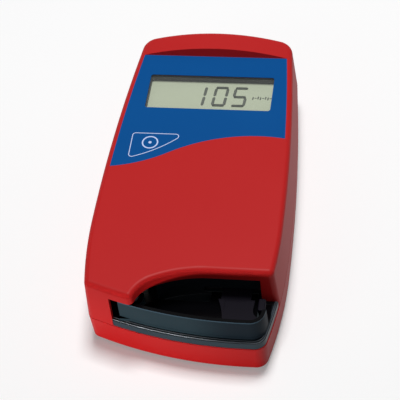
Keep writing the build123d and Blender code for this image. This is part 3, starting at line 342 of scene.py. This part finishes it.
# ======================================================================================
# Circuit boards, chips, beeper and flat lead
# Glass-epoxy boards under green solder mask with copper tracks showing through, black
# moulded chips and beeper, and a flexible lead of amber film over copper strips.
# ======================================================================================
board_green = Finish("board_green")
board_x, board_y = board_green.axes()[:2]
weave = board_green.speckle(3500.0)
track_pitch = 0.0019
track_share = 0.16       # half of a track's width, as a share of the pitch
runs_along = off_stripe(board_x, track_pitch) < track_share
runs_across = off_stripe(board_y, track_pitch) < track_share
patch_level = 0.52       # noise above this level has its tracks along, and the rest across
patch = board_green.speckle(55.0, 0.0) > patch_level
tracks = patch * runs_along + (1 - patch) * runs_across
mask_green = board_green.blend(weave, (0.006, 0.070, 0.026, 1), (0.009, 0.090, 0.034, 1))
board_green.surface(
    Base_Color=board_green.blend(tracks, mask_green, (0.016, 0.145, 0.052, 1)),
    Roughness=0.28 + weave * 0.10,
    Normal=board_green.relief(tracks + weave * 0.2, 0.00004, 0.6),
)
board_green.dress("main_board", "optics_board")

chip_black = Finish("chip_black")
pitting = chip_black.speckle(4000.0, 3.0)
chip_black.surface(
    Base_Color=chip_black.blend(pitting, (0.010, 0.010, 0.011, 1), (0.022, 0.022, 0.023, 1)),
    Roughness=0.55 + pitting * 0.2, Normal=chip_black.relief(pitting, 0.00002, 0.6),
)
chip_black.dress("board_chips", "beeper", "key_switch", "arm_switch")

link_amber = Finish("link_amber")
lead_pitch = 0.0010
lead_share = 0.3
copper = off_stripe(link_amber.axes()[0], lead_pitch) < lead_share
link_amber.surface(
    Base_Color=link_amber.blend(copper, (0.34, 0.13, 0.015, 1), (0.52, 0.23, 0.045, 1)),
    Roughness=0.22 + copper * 0.08, Normal=link_amber.relief(copper, 0.00003, 0.6),
)
link_amber.dress("board_link")

# ======================================================================================
# Display
# A reflective liquid-crystal cell in a dark moulded frame. Elastomer strips, striped with
# conducting layers, join it to the board. The figures are dark segments under the glass.
# ======================================================================================
display_grey = Finish("display_grey")
reflector = display_grey.speckle(1500.0, 4.0)
cloud = display_grey.speckle(28.0, 2.0)
glass_x, glass_y = display_grey.axes()[:2]
window_low, window_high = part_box("display_lens")
# the window's frame shades the glass along its top and left edges, between these distances
top_shade = (0.0034, 0.0008)
left_shade = (0.0028, 0.0009)
dim_top = display_grey.fade(glass_y, *(window_high.y - depth for depth in top_shade))
dim_left = display_grey.fade(glass_x, *(window_low.x + depth for depth in left_shade))
lit_glass = display_grey.blend(
    cloud * 0.7 + reflector * 0.3, (0.405, 0.455, 0.320, 1), (0.480, 0.525, 0.395, 1)
)
display_grey.surface(
    Base_Color=display_grey.blend(
        dim_top * 0.65 + dim_left * 0.35, lit_glass, (0.190, 0.205, 0.150, 1)
    ),
    Roughness=0.42 + reflector * 0.1, Specular_IOR_Level=0.2,
    Normal=display_grey.relief(reflector, 0.00001, 0.25),
)
display_grey.dress("display_panel")

frame_grey = Finish("frame_grey")
frame_grain = frame_grey.speckle(2200.0)
frame_grey.surface(
    Base_Color=frame_grey.blend(
        frame_grain, (0.012, 0.013, 0.015, 1), (0.018, 0.019, 0.022, 1)
    ),
    Roughness=0.5 + frame_grain * 0.15, Specular_IOR_Level=0.3,
    Normal=frame_grey.relief(frame_grain, 0.00003, 0.3),
)
frame_grey.dress("display_frame")

strip_rubber = Finish("strip_rubber")
layer_pitch = 0.0004
layer_share = 0.24
layers = off_stripe(strip_rubber.axes()[0], layer_pitch) < layer_share
strip_rubber.surface(
    Base_Color=strip_rubber.blend(layers, (0.58, 0.42, 0.42, 1), (0.02, 0.02, 0.02, 1)),
    Roughness=0.6 + layers * 0.1,
)
strip_rubber.dress("contact_strips")

segment_ink = Finish("segment_ink")
ink_cloud = segment_ink.speckle(900.0, 3.0)
segment_ink.surface(
    Base_Color=segment_ink.blend(ink_cloud, (0.060, 0.070, 0.055, 1), (0.085, 0.095, 0.078, 1)),
    Roughness=0.45 + ink_cloud * 0.1, Specular_IOR_Level=0.2,
)
glass_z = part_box("display_panel")[1].z
segment_width = 0.00135
lying_width = 0.00108
segment_gap = 0.00022
segment_film = 0.00002
point_share = 0.42       # how much of a segment's width each corner of its point takes
figure_width = 0.00670
figure_height = 0.0120
figure_foot_y = 0.03845
figure_slant = tan(radians(4.6))
lie_length = figure_width - lying_width
stand_length = (figure_height - lying_width) / 2 - 2 * segment_gap
tall_length = stand_length + lying_width / 2


def segment(name, size):
    """Flat bar with pointed ends that lies along X and is centred on the origin."""
    bpy.ops.object.select_all(action="DESELECT")
    bpy.ops.mesh.primitive_cube_add(size=1.0)
    bar = bpy.context.object
    bar.name = name
    bar.scale = (size[0], size[1], segment_film)
    bpy.ops.object.transform_apply(scale=True)
    bpy.ops.object.mode_set(mode="EDIT")
    bpy.ops.mesh.select_all(action="DESELECT")
    bpy.ops.object.mode_set(mode="OBJECT")
    for edge in bar.data.edges:
        first, second = (bar.data.vertices[i].co for i in edge.vertices)
        edge.select = abs(first.z - second.z) > segment_film / 2
    bpy.ops.object.mode_set(mode="EDIT")
    bpy.ops.mesh.select_mode(type="EDGE")
    bpy.ops.mesh.bevel(offset=point_share * size[1], segments=1)
    bpy.ops.object.mode_set(mode="OBJECT")
    return bar


def lay_segments(name, source, places, foot):
    """One piece of copies of the source at places, each (x, y, upright), from a foot point."""
    slant = Matrix(((1, figure_slant, 0, 0), (0, 1, 0, 0), (0, 0, 1, 0), (0, 0, 0, 1)))
    home = Matrix.Translation((*foot, glass_z + segment_film / 2))
    copies = []
    for x, y, upright in places:
        copy = bpy.data.objects.new(name, source[upright].data.copy())
        bpy.context.collection.objects.link(copy)
        turn = Matrix.Rotation(radians(90) if upright else 0, 4, "Z")
        copy.data.transform(home @ slant @ Matrix.Translation((x, y, 0)) @ turn)
        copies.append(copy)
    bpy.ops.object.select_all(action="DESELECT")
    for copy in copies:
        copy.select_set(True)
    bpy.context.view_layer.objects.active = copies[0]
    if len(copies) > 1:
        bpy.ops.object.join()
    piece = bpy.context.object
    piece.name = name
    piece.data.materials.clear()
    piece.data.materials.append(segment_ink.material)
    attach(piece, "housing")
    return piece


bars = {
    False: segment("bar_lying", (lie_length, lying_width)),
    True: segment("bar_standing", (stand_length, segment_width)),
}
left_x, mid_x, right_x = segment_width / 2, figure_width / 2, figure_width - segment_width / 2
low_y, half_y, high_y = lying_width / 2, figure_height / 2, figure_height - lying_width / 2
lower_y, upper_y = (low_y + half_y) / 2, (half_y + high_y) / 2
strokes = {
    "top": (mid_x, high_y, False),
    "middle": (mid_x, half_y, False),
    "foot": (mid_x, low_y, False),
    "upper_left": (left_x, upper_y, True), "upper_right": (right_x, upper_y, True),
    "lower_left": (left_x, lower_y, True), "lower_right": (right_x, lower_y, True),
}
tall_bars = {True: segment("bar_tall", (tall_length, segment_width))}
tall_strokes = [
    (right_x, upper_y + lying_width / 4, True), (right_x, lower_y - lying_width / 4, True)
]
one_x, nought_x, five_x = -0.00925, 0.00075, 0.00975
all_but_middle = ("top", "foot", "upper_left", "upper_right", "lower_left", "lower_right")
lay_segments("figure_one", tall_bars, tall_strokes, (one_x, figure_foot_y))
for name, left, lit in (
    ("figure_nought", nought_x, all_but_middle),
    ("figure_five", five_x, ("top", "middle", "foot", "upper_left", "lower_right")),
):
    lay_segments(name, bars, [strokes[stroke] for stroke in lit], (left, figure_foot_y))

# row of small marks beside the figures
mark_count = 8
mark_pitch = 0.00115
mark_step = 0.0002
marks_foot = (0.0197, 0.0441)
marks = {
    False: segment("mark_lying", (0.0011, 0.00050)),
    True: segment("mark_standing", (0.0019, 0.00062)),
}
mark_places = [
    (place * mark_pitch, (place % 3) * mark_step, place % 3 != 1) for place in range(mark_count)
]
lay_segments("display_marks", marks, mark_places, marks_foot)
for spare in (*bars.values(), *tall_bars.values(), *marks.values()):
    bpy.data.objects.remove(spare)

# ======================================================================================
# Display lens
# Clear acrylic, die-cut and hard-coated, glued under the overlay. It is nearly invisible
# except for a faint haze.
# ======================================================================================
window_clear = Finish("window_clear")
haze = window_clear.speckle(60.0, 3.0)
window_clear.surface(
    Base_Color=(0.80, 0.84, 0.82, 1), Roughness=0.06 + haze * 0.04, Alpha=0.025 + haze * 0.02,
)
window_clear.dress("display_lens")

# ======================================================================================
# Overlay and key
# Polyester film, printed blue from behind under a matt hard coat. The key is the same film
# on a stem, with its outline and a ring and dot printed in white.
# ======================================================================================
overlay_blue = Finish("overlay_blue")
ink = overlay_blue.speckle(35.0, 2.0)
hard_coat = overlay_blue.speckle(3200.0)
overlay_blue.surface(
    Base_Color=overlay_blue.blend(ink, (0.0010, 0.070, 0.262, 1), (0.0018, 0.080, 0.285, 1)),
    Roughness=0.46 + hard_coat * 0.08, Specular_IOR_Level=0.05,
    Normal=overlay_blue.relief(hard_coat, 0.00002, 0.15),
)
overlay_blue.dress("overlay", "power_key")

print_white = Finish("print_white")
screen = print_white.speckle(2800.0)
print_white.surface(
    Base_Color=print_white.blend(screen, (0.50, 0.60, 0.88, 1), (0.60, 0.69, 0.96, 1)),
    Roughness=0.42 + screen * 0.08, Specular_IOR_Level=0.10,
    Normal=print_white.relief(screen, 0.00001, 0.2),
)
print_film = 0.00002
outline_width = 0.00038
ring_radius = 0.00368
ring_width = 0.00062
dot_radius = 0.00070
ring_centre = (-0.02242, 0.01167)
ring_sides = 72
weld = 0.000001
flat_angle = radians(0.5)
key_top_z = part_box("power_key")[1].z


def welded_copy(name, source):
    """Copy of a node's loose triangles, merged, in face mode and with nothing selected."""
    copy = bpy.data.objects.new(name, node[source].data.copy())
    bpy.context.collection.objects.link(copy)
    bpy.ops.object.select_all(action="DESELECT")
    copy.select_set(True)
    bpy.context.view_layer.objects.active = copy
    bpy.ops.object.mode_set(mode="EDIT")
    bpy.ops.mesh.select_all(action="SELECT")
    bpy.ops.mesh.remove_doubles(threshold=weld)
    bpy.ops.mesh.select_mode(type="FACE")
    bpy.ops.mesh.select_all(action="DESELECT")
    bpy.ops.object.mode_set(mode="OBJECT")
    return copy


def keep_band(piece, width):
    """Inset the selected flat face by width, open its middle and give the band thickness."""
    bpy.ops.mesh.inset(thickness=width, depth=0, use_even_offset=True)
    bpy.ops.mesh.delete(type="FACE")
    bpy.ops.object.mode_set(mode="OBJECT")
    thicken(piece)


def thicken(piece):
    """Give a flat print its film and make it ride on the key."""
    film_layer = piece.modifiers.new("film", "SOLIDIFY")
    film_layer.thickness = print_film
    film_layer.offset = 1.0
    bpy.ops.object.modifier_apply(modifier=film_layer.name)
    piece.data.materials.clear()
    piece.data.materials.append(print_white.material)
    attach(piece, "key")


key_outline = welded_copy("key_outline", "power_key")
for face in key_outline.data.polygons:
    face.select = face.center.z < key_top_z - print_film / 2
bpy.ops.object.mode_set(mode="EDIT")
bpy.ops.mesh.delete(type="FACE")
bpy.ops.mesh.select_all(action="SELECT")
bpy.ops.mesh.dissolve_limited(angle_limit=flat_angle)
bpy.ops.mesh.select_all(action="SELECT")
keep_band(key_outline, outline_width)

for name, radius in (("key_ring", ring_radius), ("key_dot", dot_radius)):
    bpy.ops.object.select_all(action="DESELECT")
    bpy.ops.mesh.primitive_circle_add(
        vertices=ring_sides, radius=radius, fill_type="NGON", location=(*ring_centre, key_top_z)
    )
    mark = bpy.context.object
    mark.name = name
    bpy.ops.object.transform_apply(location=True)
    if name == "key_ring":
        bpy.ops.object.mode_set(mode="EDIT")
        bpy.ops.mesh.select_all(action="SELECT")
        keep_band(mark, ring_width)
    else:
        thicken(mark)

# ======================================================================================
# Tray and liner
# One black-grey ABS moulding, painted near-black above its ledge as shade. The edge of its
# floor shows as a band under the arm, with two fine beads that are painted pale as highlights,
# and the liner behind the arm keeps light from the optics.
# ======================================================================================
tray_grey = Finish("tray_grey")
tray_grain = tray_grey.speckle(1800.0)
ledge_z = 0.0194
below_ledge = 0.0001
# painted shade: above the ledge, inside the recess, the moulding is painted near-black; below
# it the band's face keeps a lighter grey-blue
edge_band = tray_grey.axes()[2] < ledge_z - below_ledge
shaded_tray_tone = tray_grey.blend(tray_grain, (0.005, 0.009, 0.012, 1), (0.008, 0.013, 0.017, 1))
tray_grey.surface(
    Base_Color=tray_grey.blend(edge_band, shaded_tray_tone, (0.012, 0.030, 0.042, 1)),
    Roughness=0.26 + tray_grain * 0.10, Specular_IOR_Level=0.20,
    Normal=tray_grey.relief(tray_grain, 0.00003, 0.2, edge=0.00025),
)
tray_grey.dress("arm_tray")

bead_highlight = Finish("bead_highlight")
highlight_mottle = bead_highlight.speckle(900.0, 3.0)
highlight_to_x, plain_from_x = -0.002, 0.024
highlight_fade = bead_highlight.fade(bead_highlight.axes()[0], highlight_to_x, plain_from_x)
# painted highlight: the beads are painted a mottled pale grey as if catching light, fading to a
# dark tone towards the right
pale_highlight_tone = bead_highlight.blend(highlight_mottle, (0.34, 0.38, 0.42, 1), (0.58, 0.62, 0.66, 1))
bead_highlight.surface(
    Base_Color=bead_highlight.blend(highlight_fade, pale_highlight_tone, (0.060, 0.075, 0.095, 1)),
    Roughness=0.30 + highlight_mottle * 0.12, Specular_IOR_Level=0.4,
)
groove_depth = 0.0005
bead_step = 0.00055      # how far in from the groove's inner wall the second bead lies
ledge_back_y = -0.0577
near = 0.00002
mostly = 0.5
bead_radius = 0.00021
front_bow = 0.188        # radius of the ledge's bow as seen from above
bow_middle_x = 0.027
bow_front_y = -0.080
bow_centre = Vector((bow_middle_x, front_bow + bow_front_y))


def ledge_bead(name, facing, shift):
    """Round bead along one wall of the ledge's groove, moved in from it by shift."""
    bead = welded_copy(name, "arm_tray")
    for face in bead.data.polygons:
        heights = [bead.data.vertices[i].co.z for i in face.vertices]
        is_wall = abs(max(heights) - ledge_z) < near
        is_wall = is_wall and abs(min(heights) - ledge_z + groove_depth) < near
        outwards = face.normal.xy.dot(face.center.xy.normalized())
        is_wall = is_wall and outwards * facing > mostly
        face.select = not (is_wall and face.center.y < ledge_back_y)
    bpy.ops.object.mode_set(mode="EDIT")
    bpy.ops.mesh.delete(type="FACE")
    bpy.ops.mesh.select_mode(type="VERT")
    bpy.ops.mesh.select_all(action="DESELECT")
    bpy.ops.object.mode_set(mode="OBJECT")
    for corner in bead.data.vertices:
        corner.select = corner.co.z < ledge_z - near
        moved = bow_centre + (corner.co.xy - bow_centre) * (1 - shift / front_bow)
        corner.co.x, corner.co.y = moved
    bpy.ops.object.mode_set(mode="EDIT")
    bpy.ops.mesh.delete(type="VERT")
    bpy.ops.object.mode_set(mode="OBJECT")
    bpy.ops.object.convert(target="CURVE")
    bead = bpy.context.object
    bead.data.bevel_depth = bead_radius
    bead.data.bevel_resolution = 2
    bead.data.use_fill_caps = True
    bpy.ops.object.convert(target="MESH")
    bead = bpy.context.object
    bpy.ops.object.shade_smooth()
    bead.data.materials.clear()
    bead.data.materials.append(bead_highlight.material)
    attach(bead, "housing")


ledge_bead("ledge_bead_outer", -1, 0.0)
ledge_bead("ledge_bead_inner", 1, bead_step)

# ======================================================================================
# Cuvette arm
# Glass-filled ABS, moulded in one. Its curved wall is a satin blue-black, painted paler along
# its top edge as a highlight and darker towards its right end as shade. The rim and the plate
# come off polished steel and are painted near-black, which on the plate is painted shade.
# ======================================================================================
arm_grey = Finish("arm_grey")
arm_grain = arm_grey.speckle(1400.0)
arm_flow = arm_grey.speckle(60.0, 3.0)
arm_top_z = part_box("cuvette_arm")[1].z
highlight_depth = 0.0007
shade_from_x, shade_to_x = 0.004, 0.026
arm_point = arm_grey.axes()
arm_normal = arm_grey.axes(arm_grey.node("ShaderNodeTexCoord", output="Normal"))
lying_from = 0.5         # faces whose normal turns up by more than this lie flat
lying = arm_normal[2] > lying_from
# painted highlight: the top 0.7 mm of the wall is painted a paler blue, standing in for light
# along its edge
edge_highlight = arm_point[2] > arm_top_z - highlight_depth
# painted shade: the wall is painted darker towards its right end
right_shade = arm_grey.fade(arm_point[0], shade_from_x, shade_to_x)
wall_tone = arm_grey.blend(arm_flow, (0.019, 0.034, 0.043, 1), (0.026, 0.045, 0.055, 1))
wall_tone = arm_grey.blend(right_shade, wall_tone, (0.011, 0.018, 0.025, 1))
wall_tone = arm_grey.blend(edge_highlight, wall_tone, (0.045, 0.080, 0.108, 1))
# faces that lie flat, the rim and the plate, are painted near-black; on the plate in the recess
# this is painted shade
arm_grey.surface(
    Base_Color=arm_grey.blend(lying, wall_tone, (0.0008, 0.0008, 0.0014, 1)),
    Roughness=0.42 + arm_flow * 0.08 - lying * 0.26, Specular_IOR_Level=0.05,
    Normal=arm_grey.relief(arm_grain, 0.00003, 0.15),
)
arm_grey.dress("cuvette_arm")

# ======================================================================================
# Cuvette holder, catch and optics
# Black mouldings: the holder is a separate piece so that it can be lifted out and washed,
# the catch is sprung against the arm, and the housing is dull so that it reflects nothing.
# ======================================================================================
holder_black = Finish("holder_black")
holder_grain = holder_black.speckle(1500.0)
holder_black.surface(
    Base_Color=holder_black.blend(
        holder_grain, (0.003, 0.002, 0.005, 1), (0.005, 0.004, 0.008, 1)
    ),
    Roughness=0.45 + holder_grain * 0.12, Specular_IOR_Level=0.05,
    Normal=holder_black.relief(holder_grain, 0.00003, 0.25),
)
holder_black.dress("cuvette_holder", "arm_catch")

optics_black = Finish("optics_black")
optics_grain = optics_black.speckle(2400.0)
optics_black.surface(
    Base_Color=optics_black.blend(
        optics_grain, (0.004, 0.004, 0.005, 1), (0.008, 0.008, 0.009, 1)
    ),
    Roughness=0.6 + optics_grain * 0.2, Specular_IOR_Level=0.3,
    Normal=optics_black.relief(optics_grain, 0.00004, 0.4),
)
optics_black.dress("optics_housing", "detector")

emitter_clear = Finish("emitter_clear")
swirl = emitter_clear.speckle(300.0, 3.0)
emitter_clear.surface(
    Base_Color=emitter_clear.blend(swirl, (0.70, 0.74, 0.78, 1), (0.82, 0.84, 0.86, 1)),
    Roughness=0.08 + swirl * 0.06, Alpha=0.55 + swirl * 0.1,
)
emitter_clear.dress("emitter")

# ======================================================================================
# Power inlet
# Black glass-filled moulding soldered to the board, its collar set in the rear wall round a
# plated pin.
# ======================================================================================
inlet_black = Finish("inlet_black")
fibres = inlet_black.speckle(1900.0, 4.0)
inlet_black.surface(
    Base_Color=inlet_black.blend(fibres, (0.011, 0.011, 0.012, 1), (0.024, 0.024, 0.025, 1)),
    Roughness=0.42 + fibres * 0.16, Normal=inlet_black.relief(fibres, 0.00003, 0.35),
)
inlet_black.dress("power_inlet")
